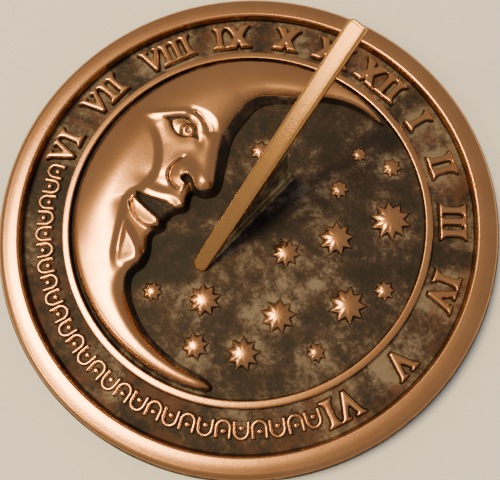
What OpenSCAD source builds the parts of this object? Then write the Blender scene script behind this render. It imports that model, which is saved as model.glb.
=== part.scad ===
// Garden sundial: a cast dial plate that lies on the flat top of a pedestal,
// with a fixed gnomon screwed on from below.
// Millimetres. +Z is up, +Y points to noon (XII), the origin is the middle of the underside.

/* [View] */
// Which sub-part to show

/* [Plate] */
// Overall diameter of the plate, over the round side of its rim
plate_d = 258; // [250:1:270]
// Height of the plate, table to rim
rim_h = 14; // [13:0.5:16]
// Width of the flat polished rim, inside the round of its side
rim_w = 7.3; // [6:0.1:8]
// Radius of the round of the rim's side
rim_round = 4.5; // [3.5:0.1:5]
// Depth of the numeral channel below the rim
channel_depth = 5.6; // [5:0.1:6.5]
// Thickness of the casting under the channel
floor_t = 4; // [3.4:0.1:5]
// Radius of the middle of the narrow inner ring
ring_r = 93.9; // [93.5:0.1:94.2]
// Width of the inner ring
ring_w = 3.8; // [3.2:0.1:4]
// Height of the inner ring over the field
ring_h = 2.8; // [2:0.1:4]

/* [Hours] */
// Angles from noon of the hours I to VI, on both sides
hour_angles = [16.6, 31.5, 48.5, 68.5, 91.2, 110.5];
// Height of a numeral, foot to top
numeral_h = 14.2; // [13:0.1:15]
// How far a numeral stands off the channel
numeral_relief = 2.8; // [1.5:0.1:3.2]
// Width of a numeral's upright stroke
stem_w = 3.7; // [3.2:0.1:4]
// Distance between the uprights of II and III
stem_pitch = 6.1; // [5.8:0.1:6.4]

/* [Border] */
// Number of arches in the plain border below the numerals
arch_count = 27; // [15:2:27]
// Height of the border's relief
border_relief = 1.6; // [1:0.1:2]

/* [Moon] */
// Height of the moon's broad face over the field
moon_h = 8.5; // [7:0.5:9]
// Distance over which its side rounds over into the face
moon_round = 3.2; // [2.5:0.1:4]

/* [Stars] */
// Height of the largest star over the field
star_h = 3.4; // [2:0.1:4]

/* [Gnomon] */
// Slope of the gnomon's bar
slope = 38.8; // [37:0.1:42]
// Length of the bar along its slope
bar_l = 144; // [135:1:146]
// Width of the bar at its high end
bar_w = 9; // [8.4:0.1:9.5]
// Width of the bar at its low end
bar_w_low = 8.2; // [7.6:0.1:8.4]
// Thickness of the bar
bar_t = 3.2; // [3:0.1:4]
// Distance from the centre to the low tip of the bar, toward VI
tip_y = 37; // [35:0.5:38]
// Distance from the centre to the upright end of the web, toward XII
web_y = 31; // [26:1:34]
// Thickness of the web under the bar
web_t = 2.8; // [2.4:0.1:3.2]
// Width of the foot strip
foot_w = 7.4; // [7.2:0.1:9]
// Height of the foot strip
foot_h = 5; // [5:0.1:6]

/* [Screws] */
// Diameter of the screw shank
screw_d = 4; // [3.5:0.1:4]
// Diameter of the screw head
head_d = 8; // [7:0.1:8.5]
// Height of the screw head
head_h = 2.4; // [2:0.1:2.6]
// Thickness of the washer
washer_t = 0.8; // [0.6:0.1:1]
// Diameter of the washer
washer_d = 10; // [9:0.5:12]

/* [Hidden] */
$fn = 96;
plate_r = plate_d / 2;
rim_r = plate_r - rim_round;               // outer edge of the rim's flat top
rim_in = rim_r - rim_w;
floor_z = rim_h - channel_depth;           // channel and field level
under_z = floor_z - floor_t;               // roof of the hollow underside
ring_top = floor_z + ring_h;
numeral_r = (rim_in + ring_r + ring_w / 2) / 2 - 0.5;
band_r = numeral_r - 0.5;
moon_r = ring_r - ring_w / 2 - 2.2;        // outer edge of the moon
screw_y = [-13, 21];                       // screws under the foot
screw_depth = 4;                           // how deep a screw goes into the foot
bronze = [0.72, 0.50, 0.32];
steel = [0.62, 0.62, 0.60];

// The moon's profile, from its lower tip past chin, lips, nose and brow to its upper tip
profile = [
    [46.8, -74.6], [39.9, -74.6], [31, -76.4], [21.7, -77.2], [10, -77.4], [0, -76],
    [-10, -72.3], [-17.6, -67.4], [-21.6, -61.4], [-20.6, -54],   // under the chin, chin
    [-23, -47.4], [-27.6, -42], [-28.6, -38.4],      // hollow below the lip
    [-26.8, -34.3], [-28.8, -29.8], [-28.8, -24.2],  // lower lip, mouth, upper lip
    [-25.4, -18.2], [-28, -13.3], [-29, -9.4],       // lip's point, up to the nose
    [-24, -7.2], [-20.6, -2.8], [-20.8, 2],          // tip of the nose
    [-25.4, 9.6], [-31, 18.4], [-35.8, 27],          // bridge
    [-37.4, 34], [-38.2, 40.6], [-38.8, 48], [-36.4, 54.6],  // brow and forehead
    [-31, 60.6], [-24.4, 66.6], [-14, 76.6],
    [-3, 83], [8, 86], [17.4, 87.2]
];

// Swellings and hollows of the face: x, y, half length, half width, turn, height
features = [
    [-70, -30, 26, 15, 95, 3.2],     // cheek
    [-62, 45, 22, 14, 80, 1.6],      // forehead
    [-56, 26.5, 10, 2.6, -5, 2.4],   // brow
    [-59, 16, 11, 6, 10, -3.6],      // eye socket
    [-60, 14, 4.5, 3.8, 0, 2.4],     // eyeball
    [-36, 9, 15, 4.5, -52, 3],       // ridge of the nose
    [-29, -2, 5, 5, 0, 2.6],         // tip of the nose
    [-43, -5, 5, 5, 0, 4.2],         // wing of the nose
    [-49, 3, 12, 4, 50, -2],         // fold beside the nose
    [-48, -15, 12, 5, 80, -2.4],     // fold down to the mouth
    [-41, -22, 9, 2.6, 30, 2.6],     // upper lip
    [-41, -29, 12, 2.2, 0, -3.6],    // parting of the lips
    [-40, -34.5, 9, 3.2, 0, 2.8],    // lower lip
    [-40, -42, 11, 3, -15, -3.2],    // hollow under the lip
    [-33, -52, 9, 6.5, -55, 3],      // chin
    [-45, -54, 12, 3.5, -55, -2.6]   // fold behind the chin
];

// Stars: x, y, tip radius, number of points
stars = [
    [19.7, 66.2, 3.8, 8], [36.8, 72, 5, 8], [55.5, 49.5, 10, 10], [24.7, 44.5, 4.8, 8],
    [-20.6, 32.5, 5.4, 8], [41.5, 23.5, 8.6, 9], [77.1, 19.8, 4.8, 8], [27.6, 0.6, 7, 9],
    [68.6, 1.6, 9, 9], [46.9, -25.6, 8.4, 9], [72.8, -26.2, 4.6, 8], [14.2, -45.2, 8, 9],
    [47.1, -51.2, 7.8, 9], [-8.3, -60, 4.8, 8], [27.1, -64.6, 6.4, 8]
];

function lerp(a, b, t) = a + (b - a) * t;

// Height of one feature at a point
function swelling(f, x, y) =
    let (dx = x - f[0], dy = y - f[1],
         u = (dx * cos(f[4]) + dy * sin(f[4])) / f[2],
         v = (dy * cos(f[4]) - dx * sin(f[4])) / f[3])
    f[5] * exp(-(u * u + v * v));

function total(list, i = 0) = i < len(list) ? list[i] + total(list, i + 1) : 0;

// Height of the moon over the field, a given way in from its nearest edge
function relief(x, y, edge) =
    let (rise = 1 - exp(-edge / moon_round))
    0.9 + (moon_h - 1.5) * rise
        + rise * rise * total([for (f = features) swelling(f, x, y)]);

// Points half way between those of an outline, added to it
function halved(pts) = [
    for (i = [0:len(pts) - 1])
        for (h = i < len(pts) - 1 ? [0, 0.5] : [0])
            h == 0 ? pts[i] : (pts[i] + pts[i + 1]) / 2
];

module plate_section() {
    crown = 0.4;
    polygon([
        [0, under_z],
        [rim_in - 3.5, under_z],
        [rim_in - 1, 0],
        [plate_r - 1.4, 0],
        [plate_r - 0.5, 1],
        for (a = [0:15:90])
            [rim_r + rim_round * cos(a), rim_h - crown - rim_round + rim_round * sin(a)],
        [lerp(rim_in, rim_r, 0.5), rim_h],
        for (a = [90:30:180]) [rim_in + 1.2 + 1.2 * cos(a), rim_h - crown - 1.2 + 1.2 * sin(a)],
        [rim_in - 0.6, floor_z],
        [ring_r + ring_w / 2 + 0.4, floor_z],
        for (a = [0:30:180])
            [ring_r + ring_w / 2 * cos(a), ring_top - 1.4 + 1.4 * sin(a)],
        [ring_r - ring_w / 2 - 0.4, floor_z],
        [0, floor_z]
    ]);
}

// The upright strokes of I, II or III, joined by their serifs, with slots between them
module uprights(n) {
    w = ((n - 1) * stem_pitch + stem_w) / 2;
    h = numeral_h / 2;
    flare = [[2.1, h], [2.1, h - 1.2], [1.1, h - 2], [0.35, h - 3.1], [0, h - 4.4]];
    slot = (stem_pitch - stem_w) / 2;
    end = h - 2;
    difference() {
        polygon(concat(
            [for (p = flare) [w + p[0], p[1]]],
            [for (i = [4:-1:0]) [w + flare[i][0], -flare[i][1]]],
            [for (p = flare) [-w - p[0], -p[1]]],
            [for (i = [4:-1:0]) [-w - flare[i][0], flare[i][1]]]
        ));
        if (n > 1)
            for (i = [1:n - 1])
                translate([(i - n / 2) * stem_pitch, 0])
                    polygon([
                        [-slot, end - 0.8], [-slot + 0.6, end], [slot - 0.6, end], [slot, end - 0.8],
                        [slot, 0.8 - end], [slot - 0.6, -end], [0.6 - slot, -end], [-slot, 0.8 - end]
                    ]);
    }
}

// V, with a small deep opening between its strokes
module letter_v() {
    h = numeral_h / 2;
    polygon([
        [-7.2, h], [-1, h], [-1, h - 1.5], [-2.1, h - 1.9], [0.1, h - 6.5], [2.2, h - 1.9],
        [1.1, h - 1.5], [1.1, h], [7, h], [7, h - 1.1], [5.6, h - 2], [4.9, h - 3.2],
        [1.1, -h], [-1.1, -h], [-5.2, h - 3.2], [-5.9, h - 2], [-7.2, h - 1.1]
    ]);
}

// X, with small notches at its head and foot
module letter_x() {
    h = numeral_h / 2;
    arm = [[7.4, h], [7.4, h - 1.1], [6, h - 2], [3.1, 0.5]];
    polygon(concat(
        [[-1, h], [0, h - 3.1], [1, h]],
        arm,
        [for (i = [3:-1:0]) [arm[i][0], -arm[i][1]]],
        [[1, -h], [0, 3.1 - h], [-1, -h]],
        [for (p = arm) [-p[0], -p[1]]],
        [for (i = [3:-1:0]) [-arm[i][0], arm[i][1]]]
    ));
}

// A numeral: its letters from left to right, each with the place of its middle
module numeral(parts) {
    translate([0, 0, floor_z - 0.5])
        linear_extrude(height = numeral_relief + 0.5)
            for (p = parts)
                translate([p[1], 0])
                    if (p[0] == "V") letter_v();
                    else if (p[0] == "X") letter_x();
                    else uprights(p[0]);
}

module numerals() {
    after_noon = [
        [[1, 0]], [[2, 0]], [[3, 0]],
        [[1, -6.3], ["V", 3.4]], [["V", 0]], [["V", -3.4], [1, 6.1]]
    ];
    before_noon = [
        [["X", -3.8], [1, 7]], [["X", 0]], [[1, -6.6], ["X", 4]],
        [["V", -8.6], [3, 5.7]], [["V", -6.4], [2, 6.1]], [["V", -3.4], [1, 6.1]]
    ];
    translate([0, numeral_r, 0]) numeral([["X", -7.4], [2, 6.7]]);
    for (i = [0:5]) {
        rotate([0, 0, -hour_angles[i]]) translate([0, numeral_r, 0]) numeral(after_noon[i]);
        rotate([0, 0, hour_angles[i]]) translate([0, numeral_r, 0]) numeral(before_noon[i]);
    }
}

// Plain border of arches and pellets, round the side away from noon
module border() {
    span = 244 - 116;
    step = span / arch_count;
    for (i = [0:arch_count - 1])
        rotate([0, 0, 180 - span / 2 + (i + 0.5) * step])
            translate([0, band_r, floor_z - 0.4]) {
                rotate([0, 0, i % 2 == 0 ? 15 : 195])
                    rotate_extrude(angle = 150, $fn = 18)
                        translate([2.6, 0]) square([1.4, border_relief + 0.4]);
                cylinder(h = border_relief + 0.4, r1 = 1.5, r2 = 0.9, $fn = 14);
            }
}

// Crescent moon in profile: a net of points from its outer edge to the profile
module moon() {
    edge_pts = halved(profile);
    n = len(edge_pts);
    a0 = atan2(profile[0][1] - 3, profile[0][0]);
    a1 = atan2(86.8, 19) - 360;
    across = [0, 0.05, 0.14, 0.26, 0.4, 0.54, 0.68, 0.81, 0.92, 1];
    m = len(across);
    net = [
        for (i = [0:n - 1])
            let (a = lerp(a0, a1, i / (n - 1)),
                 out = moon_r * [cos(a), sin(a)],
                 far = norm(edge_pts[i] - out))
            for (t = across)
                let (p = lerp(out, edge_pts[i], t))
                [p[0], p[1], floor_z + relief(p[0], p[1], far * min(t, 1 - t))]
    ];
    // the places in the net of its border, once round
    rim = concat(
        [for (i = [0:n - 1]) i * m],
        [for (j = [1:m - 1]) (n - 1) * m + j],
        [for (i = [n - 2:-1:0]) i * m + m - 1],
        [for (j = [m - 2:-1:1]) j]
    );
    k = len(rim);
    foot = [for (q = rim) [net[q][0], net[q][1], floor_z - 1.2]];
    top_faces = [
        for (i = [0:n - 2], j = [0:m - 2])
            let (q = i * m + j)
            each [[q, q + m, q + m + 1], [q, q + m + 1, q + 1]]
    ];
    side_faces = [
        for (i = [0:k - 1])
            let (next = (i + 1) % k)
            each [[rim[i], n * m + i, n * m + next], [rim[i], n * m + next, rim[next]]]
    ];
    polyhedron(
        points = concat(net, foot),
        faces = concat(top_faces, side_faces, [[for (i = [k - 1:-1:0]) n * m + i]])
    );
}

// A star: sharp points round a raised middle
module star(r, points) {
    k = 2 * points;
    rise = star_h * (0.45 + 0.055 * r);
    ring = [for (i = [0:k - 1]) (i % 2 == 0 ? r : r * 0.6) * [cos(i * 360 / k), sin(i * 360 / k)]];
    pts = concat(
        [for (p = ring) [p[0], p[1], -0.6]],
        [for (p = ring) [p[0], p[1], 0.7]],
        [[0, 0, rise]]
    );
    polyhedron(points = pts, faces = concat(
        [[for (i = [0:k - 1]) i]],
        [for (i = [0:k - 1]) each [[i, k + i, k + (i + 1) % k], [i, k + (i + 1) % k, (i + 1) % k]]],
        [for (i = [0:k - 1]) [k + i, 2 * k, k + (i + 1) % k]]
    ));
}

module dial_plate() {
    color(bronze) difference() {
        union() {
            rotate_extrude() plate_section();
            numerals();
            border();
            moon();
            for (s = stars)
                translate([s[0], s[1], floor_z]) rotate([0, 0, s[0] * 7]) star(s[2], s[3]);
        }
        for (y = screw_y) translate([0, y, 0]) cylinder(h = floor_z + 1, d = screw_d + 0.6, $fn = 32);
    }
}

// Height of the bar's upper face over a point of the noon line
function style_z(y) = rim_h + (y + 29.3) * tan(slope);

module bar() {
    low = bar_w_low / 2;
    high = bar_w / 2;
    translate([0, -tip_y, style_z(-tip_y)])
        rotate([slope, 0, 0])
            translate([0, 0, -bar_t])
                linear_extrude(height = bar_t)
                    polygon(concat(
                        [for (a = [180:10:360]) [low * cos(a), low + low * sin(a)]],
                        [for (a = [0:15:90]) [high - 1.4 + 1.4 * cos(a), bar_l - 1.4 + 1.4 * sin(a)]],
                        [for (a = [90:15:180]) [2.4 - high + 2.4 * cos(a), bar_l - 2.4 + 2.4 * sin(a)]]
                    ));
}

module gnomon() {
    inside = bar_t / cos(slope) / 2;           // the web ends inside the bar
    color(bronze) difference() {
        union() {
            bar();
            rotate([90, 0, 90]) translate([0, 0, -web_t / 2])
                linear_extrude(height = web_t)
                    polygon([
                        [-tip_y + 5, floor_z],
                        [web_y, floor_z],
                        [web_y, style_z(web_y) - inside],
                        [-tip_y + 5, style_z(-tip_y + 5) - inside]
                    ]);
            rotate([90, 0, 0]) translate([0, floor_z, -web_y - 1.5])
                linear_extrude(height = web_y + 1.5 + tip_y - 9)
                    polygon([
                        [-foot_w / 2, 0], [foot_w / 2, 0],
                        [foot_w / 2, foot_h - 1.2], [foot_w / 2 - 1.2, foot_h],
                        [-foot_w / 2 + 1.2, foot_h], [-foot_w / 2, foot_h - 1.2]
                    ]);
        }
        translate([-20, -60, floor_z - 40]) cube([40, 60, 40]);
        for (y = screw_y)
            translate([0, y, floor_z - 1]) cylinder(h = screw_depth + 1.4, d = screw_d + 0.1, $fn = 32);
    }
}

// Two slotted screws, head down, up through the plate into the foot
module gnomon_screws() {
    head_z = under_z - washer_t;
    color(steel) for (y = screw_y)
        translate([0, y, 0]) difference() {
            union() {
                translate([0, 0, head_z - 0.2])
                    cylinder(h = floor_z + screw_depth - head_z + 0.2, d = screw_d, $fn = 32);
                translate([0, 0, head_z - head_h]) cylinder(h = head_h, d1 = head_d - 1.6, d2 = head_d, $fn = 40);
            }
            translate([-head_d, -0.6, head_z - head_h - 1]) cube([2 * head_d, 1.2, 2]);
        }
}

module screw_washers() {
    color(steel) for (y = screw_y)
        translate([0, y, under_z - washer_t]) difference() {
            cylinder(h = washer_t, d = washer_d, $fn = 40);
            translate([0, 0, -1]) cylinder(h = washer_t + 2, d = screw_d + 0.4, $fn = 32);
        }
}

dial_plate();
gnomon();
gnomon_screws();
screw_washers();
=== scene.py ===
import math

import bmesh
import bpy
import numpy as np
from mathutils import Matrix, Vector


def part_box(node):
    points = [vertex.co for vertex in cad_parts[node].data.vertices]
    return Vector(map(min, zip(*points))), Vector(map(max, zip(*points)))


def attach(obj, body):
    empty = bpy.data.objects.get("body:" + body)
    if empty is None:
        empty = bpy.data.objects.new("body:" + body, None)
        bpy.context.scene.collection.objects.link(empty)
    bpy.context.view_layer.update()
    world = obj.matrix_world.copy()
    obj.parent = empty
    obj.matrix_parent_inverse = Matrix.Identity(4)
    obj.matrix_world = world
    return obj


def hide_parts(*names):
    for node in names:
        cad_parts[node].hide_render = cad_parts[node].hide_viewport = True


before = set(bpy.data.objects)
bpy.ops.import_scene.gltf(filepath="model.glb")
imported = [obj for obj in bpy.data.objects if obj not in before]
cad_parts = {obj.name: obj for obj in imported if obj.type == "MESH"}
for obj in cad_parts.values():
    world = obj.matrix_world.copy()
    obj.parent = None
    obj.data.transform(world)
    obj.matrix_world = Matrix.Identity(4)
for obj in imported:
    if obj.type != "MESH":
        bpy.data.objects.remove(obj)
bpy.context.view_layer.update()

# The dial plate. One sand casting in bronze: a drafted rim with a crowned polished top, a sunk channel for
# the hours, a narrow ring and a flat field. It lies on the foot of its rim, hollow underneath.
mm = 0.001
plate_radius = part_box("dial_plate")[1].x / mm          # 129
rim_height = 14.0
rim_round = 4.5                                        # rounding of the rim's outer edge
rim_width = 7.3
rim_crown = 0.14                                       # how much the rim's top swells between its edges
rim_lip = 1.4                                          # rounding of the rim's inner edge
rim_outer = plate_radius - rim_round
rim_inner = rim_outer - rim_width
channel_depth, wall = 5.6, 4.0
floor_level = rim_height - channel_depth
hollow_roof = floor_level - wall
ring_middle, ring_half, ring_top = 93.9, 1.9, floor_level + 2.8
ring_shoulder = 1.5                                    # height over which the ring's sides round to its top
squareness = 0.4                                       # 1 is an ellipse, 0 a square section
fillet = 0.8                                           # where rim and ring meet the floor
roof_fillet = 1.2
middle_disc = 3.0                                      # radius at which the revolved skin is closed
plate_turns = 300


def smooth(t):
    """0 below t = 0 and 1 above t = 1, with a soft step between."""
    t = np.clip(t, 0.0, 1.0)
    return t * t * (3 - 2 * t)


def arc(cx, cz, r, start, end, count):
    """Points of an arc from one angle to another, in degrees."""
    return [(cx + r * math.cos(math.radians(a)), cz + r * math.sin(math.radians(a)))
            for a in np.linspace(start, end, count)]


def add_piece(name, points, faces, rub=None):
    """A mesh object from points in millimetres; rub is how far each point is polished, 0 to 1."""
    mesh = bpy.data.meshes.new(name)
    mesh.from_pydata([(x * mm, y * mm, z * mm) for x, y, z in points], [], faces)
    if rub is not None:
        layer = mesh.attributes.new("rub", "FLOAT", "POINT")
        layer.data.foreach_set("value", np.asarray(rub, np.float32))
    mesh.polygons.foreach_set("use_smooth", [True] * len(mesh.polygons))
    mesh.update()
    piece = bpy.data.objects.new(name, mesh)
    bpy.context.scene.collection.objects.link(piece)
    return piece


def revolve(name, section, turns, rub):
    """A section of (radius, height) turned round the dial's axis."""
    points, faces, polish = [], [], []
    for i in range(turns):
        a = 2 * math.pi * i / turns
        for (r, z), p in zip(section, rub):
            points.append((r * math.sin(a), r * math.cos(a), z))
            polish.append(p)
    n = len(section)
    for i in range(turns):
        k = (i + 1) % turns
        for j in range(n - 1):
            faces.append((i * n + j, k * n + j, k * n + j + 1, i * n + j + 1))
    return add_piece(name, points, faces, polish)


def ramp_between(r0, z0, r1, z1, count):
    """Evenly spread points of a straight stretch, without its first one."""
    return [(r0 + (r1 - r0) * i / count, z0 + (z1 - z0) * i / count) for i in range(1, count + 1)]


# the roof of the hollow, its side, and the foot that the dial lies on
section = [(middle_disc, hollow_roof), (60.0, hollow_roof), (rim_inner - 5.5, hollow_roof)]
section += arc(rim_inner - 4.3, hollow_roof - roof_fillet, roof_fillet, 90, 30, 5)
section += [(rim_inner - 1.5, 0.8)] + arc(rim_inner - 0.6, 0.5, 0.5, 200, 270, 4)
section += arc(plate_radius - 1.6, 1.0, 1.0, 270, 350, 6)
# the drafted side, the outer rounding and the crowned top of the rim
section += ramp_between(plate_radius - 0.5, 1.6, plate_radius - 0.1, 7.6, 4)
section += arc(rim_outer, rim_height - rim_crown - rim_round, rim_round, 0, 90, 20)
top_span = rim_outer - rim_inner - 1.5
section += [(rim_outer - top_span * t, rim_height - rim_crown + rim_crown * math.sin(math.pi * t))
            for t in np.linspace(0.06, 0.94, 10)]
section += arc(rim_inner + rim_lip, rim_height - rim_crown - rim_lip, rim_lip, 90, 178, 9)
# the channel, the ring and the field
section += ramp_between(rim_inner, rim_height - 2.4, rim_inner - 0.5, floor_level + fillet, 3)
section += arc(rim_inner - 1.3, floor_level + fillet, fillet, 0, -90, 6)[1:]
section += ramp_between(rim_inner - 1.6, floor_level, ring_middle + 3.4, floor_level, 10)
section += arc(ring_middle + ring_half + 1.0, floor_level + fillet, fillet, -90, -180, 5)
for a in np.radians(np.linspace(3, 177, 21)):
    across = math.copysign(abs(math.cos(a)) ** squareness, math.cos(a))
    section.append((ring_middle + ring_half * across,
                    ring_top - ring_shoulder + ring_shoulder * math.sin(a) ** squareness))
section += arc(ring_middle - ring_half - 1.0, floor_level + fillet, fillet, 0, -90, 5)
section += ramp_between(ring_middle - 3.6, floor_level, middle_disc, floor_level, 42)
levels = np.array([z for r, z in section])
radii = np.array([r for r, z in section])
# how far each level is rubbed, with painted shade on the rim's outer rounding: the rim's inner wall, its outer
# rounding, and the ring to its foot
plate_rub_and_painted_shade = np.where(radii > rim_inner - 0.6, smooth((levels - 9.4) / 1.8), 0.0)
# the outer rounding stays dark up to near its top: partly unrubbed patina, partly painted shade for the rim's
# shadowed, darkly reflecting side
plate_rub_and_painted_shade = np.where(radii > rim_outer, 0.12 + 0.88 * smooth((levels - 12.0) / 1.2), plate_rub_and_painted_shade)
plate_rub_and_painted_shade = np.where(abs(radii - ring_middle) < ring_half + 0.5,
                     smooth((levels - floor_level - 0.75) / 0.7), plate_rub_and_painted_shade)
plate = revolve("plate_casting", section, plate_turns, plate_rub_and_painted_shade)


def close_middle(piece, row, up):
    """Fills the round opening that a revolved skin has at one row of its section."""
    mesh = piece.data
    bm = bmesh.new()
    bm.from_mesh(mesh)
    bm.verts.ensure_lookup_table()
    loop = [bm.verts[i * len(section) + row] for i in range(plate_turns)]
    bm.faces.new(loop if up else loop[::-1]).smooth = False
    bm.to_mesh(mesh)
    bm.free()


close_middle(plate, 0, True)
close_middle(plate, len(section) - 1, False)

# Patinated bronze: the casting is darkened all over in a brown to green-black bath, then its high parts
# are rubbed back to warm bright metal. The hollows keep the dull mottled skin of the sand.


def linear(hex_colour):
    """An sRGB hex colour as the linear RGBA that shaders take."""
    out = []
    for i in (0, 2, 4):
        c = int(hex_colour[i:i + 2], 16) / 255
        out.append(c / 12.92 if c <= 0.04045 else ((c + 0.055) / 1.055) ** 2.4)
    return (*out, 1.0)


def add_node(material, kind, links=(), **settings):
    """Adds a node; settings are its properties or input values, links are (input, node, output)."""
    tree = material.node_tree
    item = tree.nodes.new(kind)
    for key, value in settings.items():
        if key in item.bl_rna.properties:
            setattr(item, key, value)
        else:
            item.inputs[int(key[1:]) if key[1:].isdigit() else key.replace("_", " ")].default_value = value
    for target, source, output in links:
        tree.links.new(source.outputs[output], item.inputs[target])
    return item


def set_stops(ramp_node, stops):
    """Sets the colour stops of a ramp from (place, sRGB hex) pairs."""
    ramp = ramp_node.color_ramp
    while len(ramp.elements) > 1:
        ramp.elements.remove(ramp.elements[-1])
    for i, (place, colour) in enumerate(stops):
        stop = ramp.elements[0] if i == 0 else ramp.elements.new(place)
        stop.position = place
        stop.color = linear(colour)


def mottle(material, place, size, detail, roughness):
    """Noise on the object's own coordinates, with patches about size millimetres across."""
    return add_node(material, "ShaderNodeTexNoise", [("Vector", place, "Object")],
                    Scale=1 / (size * mm), Detail=detail, Roughness=roughness)


def weigh(material, value, output, weight, rest, rest_output):
    """A value times its weight, added to the rest."""
    return add_node(material, "ShaderNodeMath", [(0, value, output), (2, rest, rest_output)],
                    operation="MULTIPLY_ADD", i1=weight)


def patinated_bronze(name, bright="DFA675", bright_2="C28757",
                     bath=("0F0A08", "271A16", "382923", "4F423A", "756A5E")):
    """Rubbed cast bronze: two tones of bright metal, and the bath's tones from its darkest pools up."""
    material = bpy.data.materials.new(name)
    material.use_nodes = True
    tree = material.node_tree
    tree.nodes.clear()
    out = add_node(material, "ShaderNodeOutputMaterial")
    metal = add_node(material, "ShaderNodeBsdfPrincipled")
    tree.links.new(metal.outputs[0], out.inputs[0])
    place = add_node(material, "ShaderNodeTexCoord")
    # the bath leaves pools of 30 mm, their ragged edges break at 8 mm, and the sand's grain is about 1 mm
    pools = mottle(material, place, 30, 5.0, 0.6)
    ragged = mottle(material, place, 8, 8.0, 0.74)
    grain = mottle(material, place, 1.3, 4.0, 0.7)
    rusty = mottle(material, place, 17, 6.0, 0.66)
    halo = add_node(material, "ShaderNodeAttribute", attribute_name="halo")
    channel = add_node(material, "ShaderNodeAttribute", attribute_name="channel")
    settled = weigh(material, ragged, "Fac", 0.9, pools, "Fac")
    settled = weigh(material, grain, "Fac", 0.35, settled, 0)
    settled = weigh(material, halo, "Fac", 0.18, settled, 0)
    settled = weigh(material, channel, "Fac", 0.01, settled, 0)
    level = add_node(material, "ShaderNodeMapRange", [("Value", settled, 0)], From_Min=0.95, From_Max=1.4)
    floor = add_node(material, "ShaderNodeValToRGB", [("Fac", level, "Result")])
    set_stops(floor, zip((0.12, 0.42, 0.56, 0.7, 0.98), bath))
    # red oxide in patches, nearly all of it in the channel
    rusted = add_node(material, "ShaderNodeMapRange", [("Value", rusty, "Fac")],
                      From_Min=0.5, From_Max=0.6, To_Max=0.6)
    reddest = add_node(material, "ShaderNodeMath", [(0, channel, "Fac")],
                       operation="MULTIPLY_ADD", i1=0.86, i2=0.14)
    red_where = add_node(material, "ShaderNodeMath", [(0, rusted, "Result"), (1, reddest, 0)],
                         operation="MULTIPLY")
    floor_red = add_node(material, "ShaderNodeMix", [("Factor", red_where, 0)], data_type="RGBA")
    tree.links.new(floor.outputs["Color"], floor_red.inputs[6])
    floor_red.inputs[7].default_value = linear("54301F")
    tone = add_node(material, "ShaderNodeMix", [("Factor", pools, "Fac")], data_type="RGBA")
    tone.inputs[6].default_value = linear(bright)
    tone.inputs[7].default_value = linear(bright_2)
    # the rub wears through to bright metal along an uneven line
    polished = add_node(material, "ShaderNodeAttribute", attribute_name="rub")
    uneven = add_node(material, "ShaderNodeMath", [(0, ragged, "Fac")],
                      operation="MULTIPLY_ADD", i1=0.5, i2=-0.25)
    worn = add_node(material, "ShaderNodeMath", [(0, polished, "Fac"), (1, uneven, 0)],
                    operation="ADD", use_clamp=True)
    edge = add_node(material, "ShaderNodeMapRange", [("Value", worn, 0)], From_Min=0.15, From_Max=0.55)
    bare = add_node(material, "ShaderNodeMapRange", [("Value", worn, 0)], From_Min=0.3, From_Max=0.75)
    colour = add_node(material, "ShaderNodeMix", [("Factor", bare, "Result")], data_type="RGBA")
    tree.links.new(floor_red.outputs[2], colour.inputs[6])
    tree.links.new(tone.outputs[2], colour.inputs[7])
    tree.links.new(colour.outputs[2], metal.inputs["Base Color"])
    # bare metal is smooth and fully metallic, the bath's skin is rough, dull and pitted
    dull = add_node(material, "ShaderNodeMapRange", [("Value", edge, "Result")], To_Min=0.6, To_Max=0.2)
    soft = weigh(material, grain, "Fac", 0.06, dull, 0)
    tree.links.new(soft.outputs[0], metal.inputs["Roughness"])
    shine = add_node(material, "ShaderNodeMapRange", [("Value", edge, "Result")], To_Min=0.25, To_Max=1.0)
    tree.links.new(shine.outputs[0], metal.inputs["Metallic"])
    depth = add_node(material, "ShaderNodeMapRange", [("Value", edge, "Result")], To_Min=1.0, To_Max=0.08)
    skin = add_node(material, "ShaderNodeMath", [(0, grain, "Fac"), (1, depth, 0)], operation="MULTIPLY")
    pits = add_node(material, "ShaderNodeMath", [(0, ragged, "Fac"), (1, depth, 0), (2, skin, 0)],
                    operation="MULTIPLY_ADD")
    bump = add_node(material, "ShaderNodeBump", [("Height", pits, 0)], Strength=0.6, Distance=0.6 * mm)
    tree.links.new(bump.outputs[0], metal.inputs["Normal"])
    return material


bronze_skin = patinated_bronze("patinated_bronze")
plate.data.materials.append(bronze_skin)
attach(plate, "root")
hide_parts("dial_plate")

# The hour numerals. Raised letters with joined serifs, cast with the plate and standing in its channel
# with their tops outward. Their faces are rubbed bright and their drafted sides stay dark.
numeral_middle = (rim_inner + ring_middle + ring_half) / 2 - 0.5    # a little nearer the ring than the rim
numeral_height = 14.2
numeral_relief = 2.8
stem, pitch = 3.7, 6.1                                 # width of an upright, and from one to the next
hour_angles = (16.6, 31.5, 48.5, 68.5, 91.2, 110.5)    # degrees from noon, one to six hours away
foot_depth = 0.4                                       # how far a raised form goes down into the floor
letter_step = 0.4                                      # mesh width of the small relief in the channel


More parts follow.
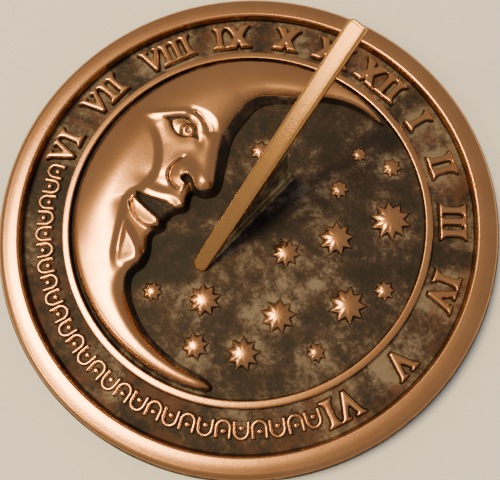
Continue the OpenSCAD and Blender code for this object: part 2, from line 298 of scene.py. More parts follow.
def relief_patch(name, x_range, y_range, step, height, place=None, rub=None):
    """A skin over one raised form: height(x, y) gives millimetres over the floor, below it outside."""
    xs = np.arange(x_range[0], x_range[1] + step, step)
    ys = np.arange(y_range[0], y_range[1] + step, step)
    gx, gy = np.meshgrid(xs, ys, indexing="ij")
    h = height(gx, gy)
    polish = rub(gx, gy, h) if rub else smooth((h - 0.5 * h.max()) / (0.35 * h.max()))
    above = h > -foot_depth + 0.02
    cell = above[:-1, :-1] | above[1:, :-1] | above[:-1, 1:] | above[1:, 1:]
    index = np.arange(gx.size).reshape(gx.shape)
    corners = np.stack([index[:-1, :-1][cell], index[1:, :-1][cell],
                        index[1:, 1:][cell], index[:-1, 1:][cell]], 1)
    used = np.unique(corners)
    new_index = np.zeros(gx.size, int)
    new_index[used] = np.arange(len(used))
    x, y, z = gx.ravel()[used], gy.ravel()[used], h.ravel()[used] + floor_level
    if place:
        angle, radius = math.radians(place[0]), place[1]
        y = y + radius
        x, y = x * math.cos(angle) + y * math.sin(angle), y * math.cos(angle) - x * math.sin(angle)
    return add_piece(name, np.stack([x, y, z], 1).tolist(), new_index[corners].tolist(),
                     polish.ravel()[used])


def curve_through(points, steps):
    """A smooth line through points, with its places evenly spread between them."""
    p = np.array([points[0], *points, points[-1]], float)
    out = []
    for i in range(1, len(p) - 2):
        for t in np.arange(steps) / steps:
            a, b, c, d = p[i - 1], p[i], p[i + 1], p[i + 2]
            out.append(0.5 * (2 * b + (c - a) * t + (2 * a - 5 * b + 4 * c - d) * t * t
                              + (3 * b - a - 3 * c + d) * t ** 3))
    return np.array(out + [p[-2]])


def distance_to(x, y, line):
    """Distance from each point to a line of points, and how far along it the nearest place is."""
    best = np.full(x.shape, 1e9)
    along = np.zeros(x.shape)
    n = len(line) - 1
    for i in range(n):
        (ax, ay), (bx, by) = line[i], line[i + 1]
        dx, dy = bx - ax, by - ay
        t = np.clip(((x - ax) * dx + (y - ay) * dy) / (dx * dx + dy * dy + 1e-12), 0, 1)
        d = np.hypot(x - ax - t * dx, y - ay - t * dy)
        closer = d < best
        best = np.where(closer, d, best)
        along = np.where(closer, (i + t) / n, along)
    return best, along


def inside_outline(x, y, line):
    """True where a point is inside a closed outline, by counting the sides to its right."""
    hit = np.zeros(x.shape, bool)
    for (ax, ay), (bx, by) in zip(line, np.roll(line, -1, 0)):
        if ay == by:
            continue
        hit ^= ((ay > y) != (by > y)) & (x < (bx - ax) * (y - ay) / (by - ay) + ax)
    return hit


def depth_inside(x, y, outline):
    """How far a point is inside a closed outline, negative outside it."""
    line = np.array(outline, float)
    d, _ = distance_to(x, y, np.vstack([line, line[:1]]))
    return np.where(inside_outline(x, y, line), d, -d)


def mirrored(side, across):
    """A closed outline from its upper right side: down the right, then up the left."""
    lower = [(x, -y) for x, y in side[::-1]]
    right = [(x + across, y) for x, y in side + lower]
    left = [(-x - across, y) for x, y in (side + lower)[::-1]]
    return right + left


top_line = numeral_height / 2
serif = [(2.1, top_line), (2.1, top_line - 1.0), (1.3, top_line - 1.7), (0.6, top_line - 2.6),
         (0.2, top_line - 3.6), (0, top_line - 4.8)]
outline_v = [(-7.2, top_line), (-1.0, top_line), (-1.0, top_line - 1.5), (-2.1, top_line - 1.9),
             (0.1, top_line - 6.5), (2.2, top_line - 1.9), (1.1, top_line - 1.5), (1.1, top_line),
             (7.0, top_line), (7.0, top_line - 1.0), (5.9, top_line - 1.8), (5.0, top_line - 3.2),
             (1.1, -top_line), (-1.1, -top_line), (-5.2, top_line - 3.2), (-6.0, top_line - 1.8),
             (-7.2, top_line - 1.0)]
arm = [(7.4, top_line), (7.4, top_line - 1.0), (6.2, top_line - 1.8), (5.0, top_line - 3.4), (3.3, 0.9), (3.0, 0)]
notch = [(1.0, top_line), (0, top_line - 3.1), (-1.0, top_line)]
outline_x = (arm + [(x, -y) for x, y in arm[::-1]] + [(x, -y) for x, y in notch]
             + [(-x, -y) for x, y in arm] + [(-x, y) for x, y in arm[::-1]] + notch[::-1])
slot_corner, slot_bevel = 0.6, 0.8                     # cut corners of the opening between two uprights


def cast_numeral(name, parts, angle):
    """A numeral from its letters: V, X, or a number of joined uprights, each with the place of its middle."""
    solid, open_slots = [], []
    for kind, place in parts:
        if kind == "V":
            solid.append([(x + place, y) for x, y in outline_v])
        elif kind == "X":
            solid.append([(x + place, y) for x, y in outline_x])
        else:
            block = mirrored(serif, ((kind - 1) * pitch + stem) / 2)
            solid.append([(x + place, y) for x, y in block])
            for i in range(1, kind):
                middle, w, e = place + (i - kind / 2) * pitch, (pitch - stem) / 2, top_line - 2.0
                corner = [(w, e - slot_bevel), (w - slot_corner, e)]
                right = [(x, -y) for x, y in corner[::-1]] + corner
                left = [(-x, y) for x, y in corner[::-1]] + [(-x, -y) for x, y in corner]
                open_slots.append([(middle + x, y) for x, y in right + left])

    def height(x, y):
        depth = np.max([depth_inside(x, y, outline) for outline in solid], 0)
        for slot in open_slots:
            depth = np.minimum(depth, -depth_inside(x, y, slot))
        side = smooth((depth + 0.55) / 1.15)
        return (numeral_relief + foot_depth) * side - foot_depth + 0.25 * smooth(depth / 1.6)

    left = min(x for outline in solid for x, y in outline)
    right = max(x for outline in solid for x, y in outline)
    margin, tall = 1.2, 8.4                            # room for the drafted sides
    return relief_patch(name, (left - margin, right + margin), (-tall, tall), letter_step, height,
                        (angle, numeral_middle))


after_noon = {"I": [(1, 0)], "II": [(2, 0)], "III": [(3, 0)], "IV": [(1, -6.3), ("V", 3.4)],
              "V": [("V", 0)], "VI": [("V", -3.4), (1, 6.1)]}
before_noon = {"XI": [("X", -3.8), (1, 7)], "X": [("X", 0)], "IX": [(1, -6.6), ("X", 4)],
               "VIII": [("V", -8.6), (3, 5.7)], "VII": [("V", -6.4), (2, 6.1)], "VI": [("V", -3.4), (1, 6.1)]}
numerals = [cast_numeral("numeral_noon", [("X", -7.4), (2, 6.7)], 0.0)]
for angle, late, early in zip(hour_angles, after_noon, before_noon):
    numerals.append(cast_numeral("numeral_pm_" + late, after_noon[late], angle))
    numerals.append(cast_numeral("numeral_am_" + early, before_noon[early], -angle))
for piece in numerals:
    piece.data.materials.append(bronze_skin)
    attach(piece, "root")

# The border. A plain row of arches and pellets cast in the channel on the side away from noon, where the
# dial has no hours. They stand lower than the numerals and are rubbed as bright.
arch_count = 27
border_span = 128.0
border_middle = numeral_middle - 0.5
border_relief = 1.7
arch_inner, arch_outer = 2.35, 4.25                    # radii of the stroke's two sides
arch_spring, arch_foot = 0.7, -4.4                     # where the arch starts to curve, and where it stands
pellet_radius, pellet_height = 1.35, -0.9


def arch_height(x, y):
    """An upright arch with a pellet in its mouth."""
    r = np.hypot(x, y - arch_spring)
    across = np.where(y > arch_spring, r, np.abs(x))
    arch = np.minimum(np.minimum(across - arch_inner, arch_outer - across), y - arch_foot)
    depth = np.maximum(arch, pellet_radius - np.hypot(x, y - pellet_height))
    return (border_relief + foot_depth) * smooth((depth + 0.45) / 0.9) - foot_depth


for i in range(arch_count):
    turn = 180 + border_span / 2 - (i + 0.5) * border_span / arch_count
    flip = 1 if i % 2 == 0 else -1
    piece = relief_patch(f"border_arch_{i + 1:02d}", (-5, 5), (-5.6, 5.6), letter_step,
                         lambda x, y: arch_height(x, y * flip), (turn, border_middle))
    piece.data.materials.append(bronze_skin)
    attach(piece, "root")

# The crescent moon. A profile face in high relief that fills the morning side of the field, cast with the
# plate. Its swelling cheek and brow are polished, and its steep side toward the stars stays dark.
moon_outer = ring_middle - ring_half - 2.2
moon_height = 8.4
profile = [
    (47.6, -74.2), (45.4, -72.8), (40.2, -73.2), (34.6, -74.7), (28.5, -76.1), (21.7, -77.1), (15.3, -77.5),
    (8, -77.2), (0, -75.8), (-10, -72), (-17.6, -67), (-21.6, -61), (-20.9, -54), (-23.4, -47.4), (-28, -42),
    (-29, -38.4), (-27.2, -34.3), (-29.2, -29.8), (-29.2, -24.2), (-25.8, -18.2), (-28.6, -13.3), (-29.6, -9.4),
    (-24.6, -7.2), (-21, -2.8), (-21.2, 2), (-25.8, 9.6), (-31.4, 18.4), (-36.2, 27), (-37.8, 34),
    (-38.6, 40.6), (-39, 48), (-36.6, 54.4), (-31.1, 60.4), (-24.6, 66.5), (-19.5, 71.6), (-13.8, 77.0),
    (-8, 80.7), (-2.6, 83.2), (3.2, 85), (9.2, 86.1), (14.6, 86.7), (17.4, 87.4)]


def ridge(x, y, points, width, height):
    """A raised (or, with a negative height, sunk) line through points, fading at its ends."""
    d, along = distance_to(x, y, curve_through(points, 6))
    return height * np.exp(-(d / width) ** 2) * smooth(np.minimum(along, 1 - along) / 0.16)


def fold(x, y, points, drop, width, reach):
    """A fold of the skin: it falls off sharply on the right of the line and comes back slowly beyond it."""
    line = curve_through(points, 6)
    d, along = distance_to(x, y, line)
    nearest = np.clip((along * (len(line) - 1)).astype(int), 0, len(line) - 2)
    a, b = line[nearest], line[nearest + 1]
    right = (b[..., 0] - a[..., 0]) * (y - a[..., 1]) - (b[..., 1] - a[..., 1]) * (x - a[..., 0]) < 0
    fade = smooth(np.minimum(along, 1 - along) / 0.14)
    back = np.exp(-(np.where(right, d, 0) / reach) ** 2)
    return -drop * smooth(0.5 + np.where(right, d, -d) / width) * back * fade


def swell(x, y, cx, cy, length, width, turn, height, power=1.0):
    """A soft oval mound at (cx, cy), turned by so many degrees; a higher power flattens its top."""
    a = math.radians(turn)
    u = ((x - cx) * math.cos(a) + (y - cy) * math.sin(a)) / length
    v = ((y - cy) * math.cos(a) - (x - cx) * math.sin(a)) / width
    return height * np.exp(-(u * u + v * v) ** power)


mouth_opening = [
    (-50.6, -28.8), (-47, -27.4), (-43, -25.8), (-39, -23.8), (-35.5, -22.1), (-32, -21.6), (-28, -21.6),
    (-22, -21.6), (-22, -31.6), (-27, -31.4), (-31, -31), (-35, -31.2), (-41, -31.5), (-46, -31.3), (-49.4, -30.4)]
lower_lip = [
    (-50, -31.4), (-47.8, -34.8), (-44, -37.4), (-40, -38.6), (-35, -38.5), (-31, -37), (-27.4, -34.2),
    (-29, -32), (-34, -31.7), (-40, -31.9), (-46, -31.7)]
chin_lobe = [
    (-43.6, -43.6), (-38, -44.6), (-33, -46), (-28, -48), (-23.6, -50.6), (-21, -54.5), (-22.6, -58),
    (-26, -60.8), (-30.5, -63), (-33, -61), (-36, -56.6), (-39, -51.4), (-42, -46.6)]


def face_relief(x, y):
    """The face's own heights over the crescent's plain swelling, in millimetres."""
    h = swell(x, y, -66, -26, 34, 16, 100, 1.3)                            # cheek
    h += swell(x, y, -60, 46, 24, 15, 80, 0.6)                             # forehead
    # brow, eye socket and the band of the upper lid
    brow = [(-64, 22.2), (-58, 25), (-53, 26.3), (-48, 26), (-44.2, 24.2), (-41.4, 21)]
    under_brow = [(-61, 22.8), (-57.5, 23.3), (-52.5, 23.0), (-48.2, 21.8), (-44.8, 19.4), (-42.5, 18.6)]
    lid = [(-82, 4.4), (-76, 7), (-73, 9.4), (-69.5, 12.9), (-65.5, 16.8), (-61.5, 19.9), (-57, 21.2),
           (-52, 20.1), (-47.6, 16)]
    h += fold(x, y, brow, 0.85, 4.8, 7)
    h += swell(x, y, -57, 13, 11, 6.5, 14, -0.5, 1.6)
    h += ridge(x, y, under_brow, 1.0, -0.7)
    h += ridge(x, y, lid, 1.9, 0.7)
    h += swell(x, y, -45.8, 13, 3.4, 2.2, -30, -0.5)                       # inner corner
    h += swell(x, y, -70, 3.6, 6, 3.4, -20, -0.5)                          # outer corner, below the lid
    # the nose: bridge, wing with its groove, and the edge that curls into the nostril
    bridge = [(-44, 22), (-40, 15.5), (-35.6, 9.5), (-31.4, 4), (-28, -1), (-26, -5), (-24, -9)]
    wing_groove = [(-45.4, 3), (-46.9, -3), (-46.6, -8.4), (-44.2, -12.2), (-39.6, -13.9), (-34.6, -12.6)]
    nostril_edge = [(-39, -6), (-37.4, -4.2), (-34.4, -3.6), (-31.6, -4.8), (-29.2, -5.8), (-26.6, -5.8),
                    (-23.4, -4.2)]
    under_nose = [(-38.6, -8.8), (-38.2, -6.6), (-36.8, -5.0), (-34.2, -4.7), (-31.8, -6), (-29.8, -7),
                  (-27.2, -7), (-24, -5.4)]
    h += ridge(x, y, bridge, 5.0, 0.4)
    h += swell(x, y, -46, 7, 4.4, 7.5, -25, -0.4)
    h += swell(x, y, -43.6, -17, 9, 4.4, 24, -1.4)                         # between wing and lip
    wing_x, wing_y = -38.8, -4.2
    u, v = (x - wing_x) / 7.0, (y - wing_y) / np.where(y < wing_y, 6.6, 5.4)
    h += 2.3 * np.exp(-(u * u + v * v) ** 1.25)
    h += ridge(x, y, wing_groove, 0.9, -1.0)
    h += ridge(x, y, nostril_edge, 1.3, 0.4)
    h += fold(x, y, under_nose, 3.4, 1.3, 4.6)
    h += swell(x, y, -36.0, -7.6, 1.9, 1.2, 15, -1.4, 1.5)                 # nostril
    # the cheek steps down to the mouth and the chin
    cheek_edge = [
        (-27, -67), (-31.5, -63), (-36, -58.5), (-39.6, -53.5), (-43, -48.5), (-46.2, -43.5), (-49, -39),
        (-51, -35), (-51.5, -30.5), (-50.2, -26), (-49.8, -20), (-51.5, -13.5), (-55.5, -8), (-60.5, -3.5),
        (-66, 0), (-71, 2)]
    h += fold(x, y, cheek_edge, 1.5, 5.0, 22)
    # the upper lip slopes down to the mouth, the lower lip is a lens that is highest at the mouth
    upper_lip = [(-52, -28.6), (-47, -25.8), (-43, -23.9), (-39, -21.7), (-35.5, -19.9), (-32.3, -19.4),
                 (-29, -20.2), (-24, -21.4)]
    lip_foot = [(-51.5, -32.6), (-48.2, -35.6), (-44, -38.1), (-40, -39.1), (-35, -39), (-31, -37.6),
                (-27.2, -35), (-22, -33)]
    h += fold(x, y, upper_lip, 0.9, 4.6, 9)
    h -= 1.7 * smooth((depth_inside(x, y, mouth_opening) + 0.4) / 1.0)
    in_lip = depth_inside(x, y, lower_lip)
    lip_height = 0.3 * (1 - np.exp(-np.clip(in_lip, 0, None) / 0.9)) + 0.25 * np.clip(y + 38.8, 0, 8)
    h += lip_height * smooth((in_lip + 0.3) / 1.0)
    h += fold(x, y, lip_foot, 1.1, 1.8, 6)
    # the chin is a lobe that rises toward the upper right
    chin_height = 0.16 * np.clip(0.31 * (x + 33) + 0.95 * (y + 62), 0, 20)
    h += chin_height * smooth((depth_inside(x, y, chin_lobe) + 1.4) / 4.6)
    return h


eye_top = curve_through(
    [(-70.5, 8.9), (-67, 12.7), (-63, 16.9), (-59, 18.9), (-54, 18.2), (-50, 15.6), (-46.6, 13.2)], 8)
eye_foot = curve_through(
    [(-70.5, 8.9), (-66.5, 9.9), (-63, 8.1), (-59, 7.2), (-56, 7.5), (-53, 9.4), (-50.3, 12), (-46.6, 13.2)], 8)
eye_outline = np.concatenate([eye_top, eye_foot[::-1][1:-1]])
least_height = 1.3                                     # of the crescent's edge over the floor


def crescent(x, y):
    """Where a point lies on the crescent, and how far its front and back sides have risen there."""
    edge = curve_through([(46.3, -76.9)] + profile + [(17.9, 88)], 8)
    start = math.atan2(-76.6, 46.4)
    end = math.atan2(87.9, 17.6) - 2 * math.pi
    back = np.array([(moon_outer * math.cos(a), moon_outer * math.sin(a)) for a in np.linspace(end, start, 240)])
    inside = inside_outline(x, y, np.concatenate([edge, back]))
    to_profile, _ = distance_to(x, y, edge)
    to_back, _ = distance_to(x, y, back)
    # the horns are narrow, so they are lower and their sides shorter; the side is steepest at the mouth
    width = to_profile + to_back
    steep_side = np.interp(y, (-70, -55, -40, -25, -10, -4, 10, 20, 30, 60),
                           (3.0, 1.9, 1.3, 0.9, 1.1, 2.8, 4.2, 4.8, 5.0, 4.6))
    reach_back = np.clip(0.75 * width, 3, 22)
    share = np.interp(width, (6, 15, 35, 55), (0.12, 0.16, 0.3, 0.6))
    sharp = 1 - np.exp(-(to_back / np.clip(0.1 * width, 0.5, 1.1)) ** 1.4)
    round_back = 1 - (1 - np.clip(to_back / reach_back, 0, 1)) ** 2
    rise_back = (1 - share) * sharp + share * round_back
    front_reach = np.minimum(np.clip(0.15 * width, 0.9, 9), steep_side)
    rise_front = 1 - np.exp(-(to_profile / front_reach) ** 1.3)
    upper_horn = np.interp(y, (20, 50), (0, 1)) * (1 - smooth((width - 9) / 18))
    across_horn = np.clip(to_profile / (0.8 * width + 0.1), 0, 1)
    gentle = 0.7 * (1 - np.exp(-(to_profile / 0.7) ** 1.3)) + 0.3 * across_horn
    rise_front = rise_front + (gentle - rise_front) * upper_horn
    return inside, to_profile, to_back, rise_front, rise_back


def moon_relief(x, y):
    """The crescent's height over the floor, with the face on it."""
    inside, to_profile, to_back, rise_front, rise_back = crescent(x, y)
    width, rise = to_profile + to_back, rise_back * rise_front
    h = least_height + (moon_height - 1.9) * (1 - np.exp(-width / 5.0)) * rise
    # the eyeball lies in its own almond opening, under the lid's edge, with the iris standing on it
    to_lid, _ = distance_to(x, y, np.concatenate([eye_outline, eye_outline[:1]]))
    opening = smooth(to_lid / 0.9) * inside_outline(x, y, eye_outline)
    ball = swell(x, y, -57.5, 13, 8, 5.6, 8, 1.6)
    iris = np.hypot(x + 54.8, y - 13.2)
    ball = ball + 0.5 * smooth((3.6 - iris) / 0.8) - 0.6 * np.exp(-((iris - 4.0) / 0.5) ** 2)
    ball = ball - 0.5 * smooth((1.6 - iris) / 0.8)
    features = face_relief(x, y) + opening * (ball - 1.9)
    return np.where(inside, h + rise * features, least_height - 2.4 * np.minimum(to_profile, to_back))


def blur(a, n):
    """The mean over a square of 2 n + 1 grid steps, with the grid's edge carried outward."""
    for axis in (0, 1):
        size = a.shape[axis]
        first, last = np.take(a, [0], axis), np.take(a, [-1], axis)
        pad = np.concatenate([np.repeat(first, n, axis), a, np.repeat(last, n, axis)], axis)
        total = np.cumsum(pad, axis)
        upper = np.take(total, np.arange(2 * n, 2 * n + size), axis)
        lower = np.take(total, np.arange(size - 1), axis)
        lower = np.concatenate([np.zeros_like(first), lower], axis)
        a = (upper - lower) / (2 * n + 1)
    return a


def moon_polish(x, y, h):
    """Bright on the swellings, dark in creases and down the steep sides."""
    base = np.maximum(h, -foot_depth)
    fine = blur(blur(base, 2), 2) - base
    broad = blur(blur(base, 6), 6) - base
    slope_x, slope_y = np.gradient(base, moon_step)
    steep = np.hypot(slope_x, slope_y)
    polish = 1.0 - smooth((fine - 0.1) / 0.3) * 0.75
    polish *= 1.0 - smooth((broad - 0.35) / 1.0) * 0.5
    polish *= 1.0 - smooth((steep - 1.3) / 1.2) * 0.85
    polish *= 1.0 - smooth((depth_inside(x, y, mouth_opening) + 0.2) / 0.6) * 0.8
    polish *= 1.0 - smooth((depth_inside(x, y, eye_outline) + 0.2) / 0.8) * 0.3
    # on the narrow horns the cloth reaches further down the side
    inside, to_profile, to_back, rise_front, _ = crescent(x, y)
    horn = 1 - smooth((to_profile + to_back - 9) / 22)
    polish *= smooth((rise_front - 0.45 + 0.33 * horn) / 0.4) * smooth((to_back - 0.4) / 0.8)
    return polish * inside


moon_step = 0.5
moon = relief_patch("crescent_moon", (-91.5, 49.5), (-91.5, 91.5), moon_step, moon_relief, rub=moon_polish)
moon.data.materials.append(bronze_skin)
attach(moon, "root")

# The stars. Fifteen low domes with narrow rays, cast with the plate on the field beside the moon. Each
# dome is rubbed bright, and the dark bath is left round it.
# place of the middle, reach of the rays and their number
stars = [
    (19.7, 66.2, 3.8, 8), (36.8, 72, 5, 8), (55.5, 49.5, 10, 10), (24.7, 44.5, 4.8, 8), (-20.6, 32.5, 5.4, 8),
    (41.5, 23.5, 8.6, 9), (77.1, 19.8, 4.8, 8), (27.6, 0.6, 7, 9), (68.6, 1.6, 9, 9), (46.9, -25.6, 8.4, 9),
    (72.8, -26.2, 4.6, 8), (14.2, -45.2, 8, 9), (47.1, -51.2, 7.8, 9), (-8.3, -60, 4.8, 8), (27.1, -64.6, 6.4, 8)]
star_step = 0.32
ray_foot = 0.6                                         # where two rays meet, as a share of the reach


def star_depth(x, y, reach, rays, first):
    """Distance from the middle, and depth inside the pointed outline."""
    r, a = np.hypot(x, y), np.arctan2(y, x) - first
    half_turn = math.pi / rays
    turn = np.abs((a / (2 * half_turn) + 0.5) % 1 - 0.5) * 2 * half_turn       # from the nearest ray's middle
    waist = reach * ray_foot
    edge = reach * waist * math.sin(half_turn) / (waist * np.sin(half_turn - turn) + reach * np.sin(turn))
    lean = math.atan2(waist * math.sin(half_turn), reach - waist * math.cos(half_turn))
    return r, (edge - r) * math.sin(lean)


def star_height(x, y, reach, rays, first):
    """A dome that falls off to flat rays with a rounded edge; larger stars stand higher."""
    r, depth = star_depth(x, y, reach, rays, first)
    dome = 1.9 * (1 - np.clip(r / reach, 0, 1) ** 2.3)
    ray_edge = 0.4 * (1 - np.exp(-np.clip(depth, 0, None) / 0.5))
    body = (reach / 9) ** 0.6 * (0.8 + dome + ray_edge)
    return (body + foot_depth) * smooth((depth + 0.95) / 1.0) - foot_depth


def star_rub(x, y, reach, rays, first):
    """Bright to the very edge of the rays."""
    return smooth((star_depth(x, y, reach, rays, first)[1] + 0.3) / 0.45)


for number, (cx, cy, reach, rays) in enumerate(stars, 1):
    shape = (reach, rays, math.radians(cx * 7))        # each star is turned by its own angle
    span = (-reach - 1.4, reach + 1.4)
    piece = relief_patch(f"star_{number:02d}", span, span, star_step,
                         lambda x, y: star_height(x, y, *shape), rub=lambda x, y, h: star_rub(x, y, *shape))
    piece.data.transform(Matrix.Translation((cx * mm, cy * mm, 0)))
    piece.data.materials.append(bronze_skin)
    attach(piece, "root")

# The bath's marks on the plate. It dries paler round stars and numerals, within a few millimetres of their
# foot, and red oxide settles in the channel. Both are kept on the plate's points for its material.
halo_reach = 3.0
letter_reach, channel_reach = 11, 12                   # to each side of the circle of the numerals
points = np.empty(len(plate.data.vertices) * 3, np.float32)
plate.data.vertices.foreach_get("co", points)
px, py, pz = points.reshape(-1, 3).T / mm
from_star = np.min([np.hypot(px - cx, py - cy) - 0.8 * reach for cx, cy, reach, rays in stars], 0)
halo = np.exp(-np.clip(from_star, 0, None) / halo_reach)
turned = np.degrees(np.arctan2(px, py))
from_middle = np.abs(np.hypot(px, py) - numeral_middle)
# how wide the pale patch is at noon, then at the hours after it and before it
hour_widths = [(0.0, 26)]
for angle, late, early in zip(hour_angles, (9, 15, 20, 22, 20, 20), (9, 15, 20, 30, 20, 20)):
    hour_widths += [(angle, late), (-angle, early)]
for angle, width in hour_widths:
    aside = np.abs((turned - angle + 180) % 360 - 180) * math.pi / 180 * numeral_middle - 0.5 * width
    halo = np.maximum(halo, np.exp(-np.clip(aside, 0, None) / halo_reach) * (from_middle < letter_reach))
halo = np.where(np.abs(pz - floor_level) < 0.6, halo, 0)
in_channel = (from_middle < channel_reach) & (pz > floor_level - 1)
for name, values in (("halo", halo), ("channel", in_channel)):
    layer = plate.data.attributes.new(name, "FLOAT", "POINT")
    layer.data.foreach_set("value", values.astype(np.float32))

# The gnomon. A second bronze casting: a flat bar that slopes up toward noon, its top polished, over a thin
# web and a narrow foot strip left as cast. Two screws from below hold it.
slope = math.radians(38.8)
bar_length, bar_wide, bar_narrow, bar_thick = 144.0, 9.0, 8.2, 3.2
bar_low = 37.0                                         # how far its low end is before the plate's middle
style_crossing = 29.3                                  # where its top passes the level of the rim
web_end, web_thick = 31.0, 2.8
web_start = -bar_low + 5
foot_width, foot_height = 7.4, 5.0
foot_start, foot_end = -bar_low + 9, web_end + 1.5


def style_level(y):
    """Height of the bar's top at a place along the noon line."""
    return rim_height + (y + style_crossing) * math.tan(slope)


def bar_outline(inset):
    """The bar seen square on: a round low end, and a high end with one full corner and one tight one."""
    low, high = bar_narrow / 2 - inset, bar_wide / 2 - inset
    start, top = bar_narrow / 2, bar_length - inset
    tight, full = 1.4 - 0.3 * inset, 2.6 - 0.3 * inset
    along = np.linspace(0.03, 0.99, 40)
    points = [(low * math.cos(a), start + low * math.sin(a)) for a in np.linspace(math.pi, 2 * math.pi, 19)]
    points += [(low + (high - low) * t, start + (top - 2 - start) * t) for t in along]
    points += [(high - tight + tight * math.cos(a), top - tight + tight * math.sin(a))
               for a in np.linspace(0, math.pi / 2, 6)]
    points += [(full - high + full * math.cos(a), top - full + full * math.sin(a))
               for a in np.linspace(math.pi / 2, math.pi, 9)]
    points += [(-low - (high - low) * t, start + (top - 3.4 - start) * t) for t in along[::-1]]
    return points


def skin_between(rings):
    """Joins rings of points into one closed skin."""
    n = len(rings[0])
    points = [p for ring in rings for p in ring]
    faces = []
    for k in range(len(rings) - 1):
        for i in range(n):
            j = (i + 1) % n
            faces.append((k * n + i, k * n + j, (k + 1) * n + j, (k + 1) * n + i))
    faces.append(tuple(range(n))[::-1])
    faces.append(tuple(range((len(rings) - 1) * n, len(rings) * n)))
    return points, faces


# the bar is built of rings from its underside to its crowned top, each inset by the rounding of its edges
edge_round = 0.7
layers = [(edge_round, -bar_thick), (edge_round * 0.3, -bar_thick + edge_round * 0.3),
          (0, -bar_thick + edge_round), (0, -edge_round)]
layers += [(edge_round * (1 - math.cos(a)), -edge_round * (1 - math.sin(a))) for a in (0.5, 1.0, 1.4)]
layers += [(1.6, 0.03), (2.6, 0.06)]
under_layers = 3                                       # the first rings, which are left as cast
deepest = floor_level - 2.4                            # the low end is sunk in the field
rings = []
for inset, level in layers:
    ring = []
    for u, s in bar_outline(inset):
        y = -bar_low + s * math.cos(slope) - level * math.sin(slope)
        z = style_level(-bar_low) + s * math.sin(slope) + level * math.cos(slope)
        ring.append((u, y, max(z, deepest)))
    rings.append(ring)
points, faces = skin_between(rings)
bar_rub = [1.0 if i >= len(rings[0]) * under_layers else 0.25 for i in range(len(points))]
gnomon_bar = add_piece("gnomon_bar", points, faces, bar_rub)

# the web ends in the middle of the bar's thickness
web_top = bar_thick / math.cos(slope) / 2
outline = [(web_start, floor_level), (web_end, floor_level), (web_end, style_level(web_end) - web_top),
           (web_start, style_level(web_start) - web_top)]
rings = [[(x, y, z) for y, z in outline] for x in (-web_thick / 2, web_thick / 2)]
points, faces = skin_between(rings)
gnomon_web = add_piece("gnomon_web", points, faces, [0.12] * len(points))
web_bevel = gnomon_web.modifiers.new("cast edges", "BEVEL")
web_bevel.width, web_bevel.segments = 0.5 * mm, 3

# the foot is a strip with stepped sides, as a filed parting line leaves them
half = foot_width / 2
side = [(half, 0), (half, 1.6), (half - 0.5, 2.1), (half - 0.6, 2.9), (half - 1.2, 3.3), (half - 1.3, 4.2),
        (half - 1.9, 4.8)]
top_half = web_thick / 2 + 0.1
foot_shape = side + [(top_half, foot_height), (-top_half, foot_height)] + [(-x, z) for x, z in side[::-1]]
waver = 0.08                                           # of its sides, from the file
rings = []
for y in np.linspace(foot_end, foot_start, 60):
    rings.append([(x + waver * math.sin(y * 1.7 + z * 3), y, floor_level + z) for x, z in foot_shape])
points, faces = skin_between(rings)
foot_rub = [0.2 + 0.25 * (z - floor_level > 2) for x, y, z in points]
gnomon_foot = add_piece("gnomon_foot", points, faces, foot_rub)

# the bar is polished bronze, a little yellower than the plate; web and foot keep the pale skin of the bath, its
# tones lifted further as painted light so that they read lit in the bar's shadow
bar_metal = patinated_bronze("rubbed_bronze_bar", "E0A768", "D29A5A")
gnomon_bar.data.materials.append(bar_metal)
# pale patina on web and foot, its bath tones lightened further as painted light
web_skin_and_painted_light = patinated_bronze("weathered_bronze_web_painted_light", "A08A60", "85724C",
                            ("3A2F20", "665940", "8C7D5C", "B0A078", "D2C49A"))
for piece in (gnomon_web, gnomon_foot):
    piece.data.materials.append(web_skin_and_painted_light)
for piece in (gnomon_bar, gnomon_web, gnomon_foot):
    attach(piece, "root")
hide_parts("gnomon")

# The two screws and their washers. Plain slotted steel, hidden under the plate in its hollow, where they
# pull the gnomon's foot down on the field.


def plain_steel(name):
    """Turned steel, a little duller in patches of about 1.5 mm."""
    material = bpy.data.materials.new(name)
    material.use_nodes = True
    metal = material.node_tree.nodes["Principled BSDF"]
    metal.inputs["Metallic"].default_value = 1.0
    place = add_node(material, "ShaderNodeTexCoord")
    patches = add_node(material, "ShaderNodeTexNoise", [("Vector", place, "Object")],
                       Scale=1 / (1.5 * mm), Detail=4.0)
    shade = add_node(material, "ShaderNodeValToRGB", [("Fac", patches, "Fac")])
    set_stops(shade, [(0.35, "8E8C87"), (0.7, "B9B7B0")])
    rough = add_node(material, "ShaderNodeMapRange", [("Value", patches, "Fac")], To_Min=0.28, To_Max=0.5)
    material.node_tree.links.new(shade.outputs[0], metal.inputs["Base Color"])
    material.node_tree.links.new(rough.outputs[0], metal.inputs["Roughness"])
    return material


steel = plain_steel("turned_steel")
for name in ("gnomon_screws", "screw_washers"):
    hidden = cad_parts[name]
    hidden.data.materials.clear()
    hidden.data.materials.append(steel)

# The setting. A plain pale table top, a large warm panel over the morning side with a weaker one in front,
# and soft light from the room all round. The camera is over the afternoon side, as in the photograph.
warm_light = "FFDE9C"


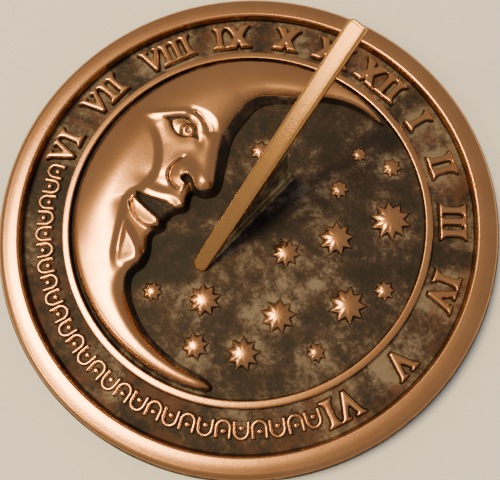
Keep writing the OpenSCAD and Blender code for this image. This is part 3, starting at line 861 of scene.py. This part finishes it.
def light_panel(name, middle, along, size, power):
    """A soft box that faces the dial, with its long side along a direction."""
    lamp = bpy.data.lights.new(name, "AREA")
    lamp.shape, lamp.size, lamp.size_y, lamp.energy = "RECTANGLE", size[0], size[1], power
    lamp.color = linear(warm_light)[:3]
    obj = bpy.data.objects.new(name, lamp)
    z = Vector(middle).normalized()
    x = (Vector(along) - z * z.dot(Vector(along))).normalized()
    obj.matrix_world = Matrix.Translation(middle) @ Matrix((x, z.cross(x), z)).transposed().to_4x4()
    bpy.context.scene.collection.objects.link(obj)


table_half, table_level = 3.0, -0.2 * mm               # just below the foot, so that the two don't flicker
corners = [(-1, -1), (1, -1), (1, 1), (-1, 1)]
table_mesh = bpy.data.meshes.new("table_top")
table_mesh.from_pydata([(x * table_half, y * table_half, table_level) for x, y in corners], [], [(0, 1, 2, 3)])
table = bpy.data.objects.new("table_top", table_mesh)
bpy.context.scene.collection.objects.link(table)
# matt paint, pale and a little cool under the warm panels
table_paint = bpy.data.materials.new("matt_white_table")
table_paint.use_nodes = True
table_shader = table_paint.node_tree.nodes["Principled BSDF"]
table_shader.inputs["Base Color"].default_value = linear("F2F5FB")
table_shader.inputs["Roughness"].default_value = 0.9
table_mesh.materials.append(table_paint)

light_panel("key_panel", (-0.92, -0.50, 2.77), (1.28, -0.33, 0.33), size=(0.98, 0.75), power=108)
light_panel("front_panel", (-0.95, -1.95, 2.05), (1, 0, 0), size=(0.8, 0.7), power=20)
world = bpy.data.worlds.new("room")
bpy.context.scene.world = world
world.use_nodes = True
room = world.node_tree.nodes["Background"]
room.inputs["Color"].default_value = (1.0, 0.95, 0.92, 1)
room.inputs["Strength"].default_value = 0.36

camera_data = bpy.data.cameras.new("camera")
camera_data.sensor_width = 36.0
camera_data.lens = 45.915
camera_data.shift_x, camera_data.shift_y = -0.0463, 0.0034
camera_data.clip_start = 0.01
camera = bpy.data.objects.new("camera", camera_data)
bpy.context.scene.collection.objects.link(camera)
# place and directions from the camera that was fitted to the rim, the ring and the bar
camera_place = (0.08459, -0.05362, 0.32496)
right, up, back = (0.7275, 0.6853, -0.0341), (-0.6561, 0.7093, 0.2576), (0.2007, -0.1650, 0.9657)
turned_camera = Matrix((right, up, back)).transposed().to_4x4()
camera.matrix_world = Matrix.Translation(camera_place) @ turned_camera
bpy.context.scene.camera = camera
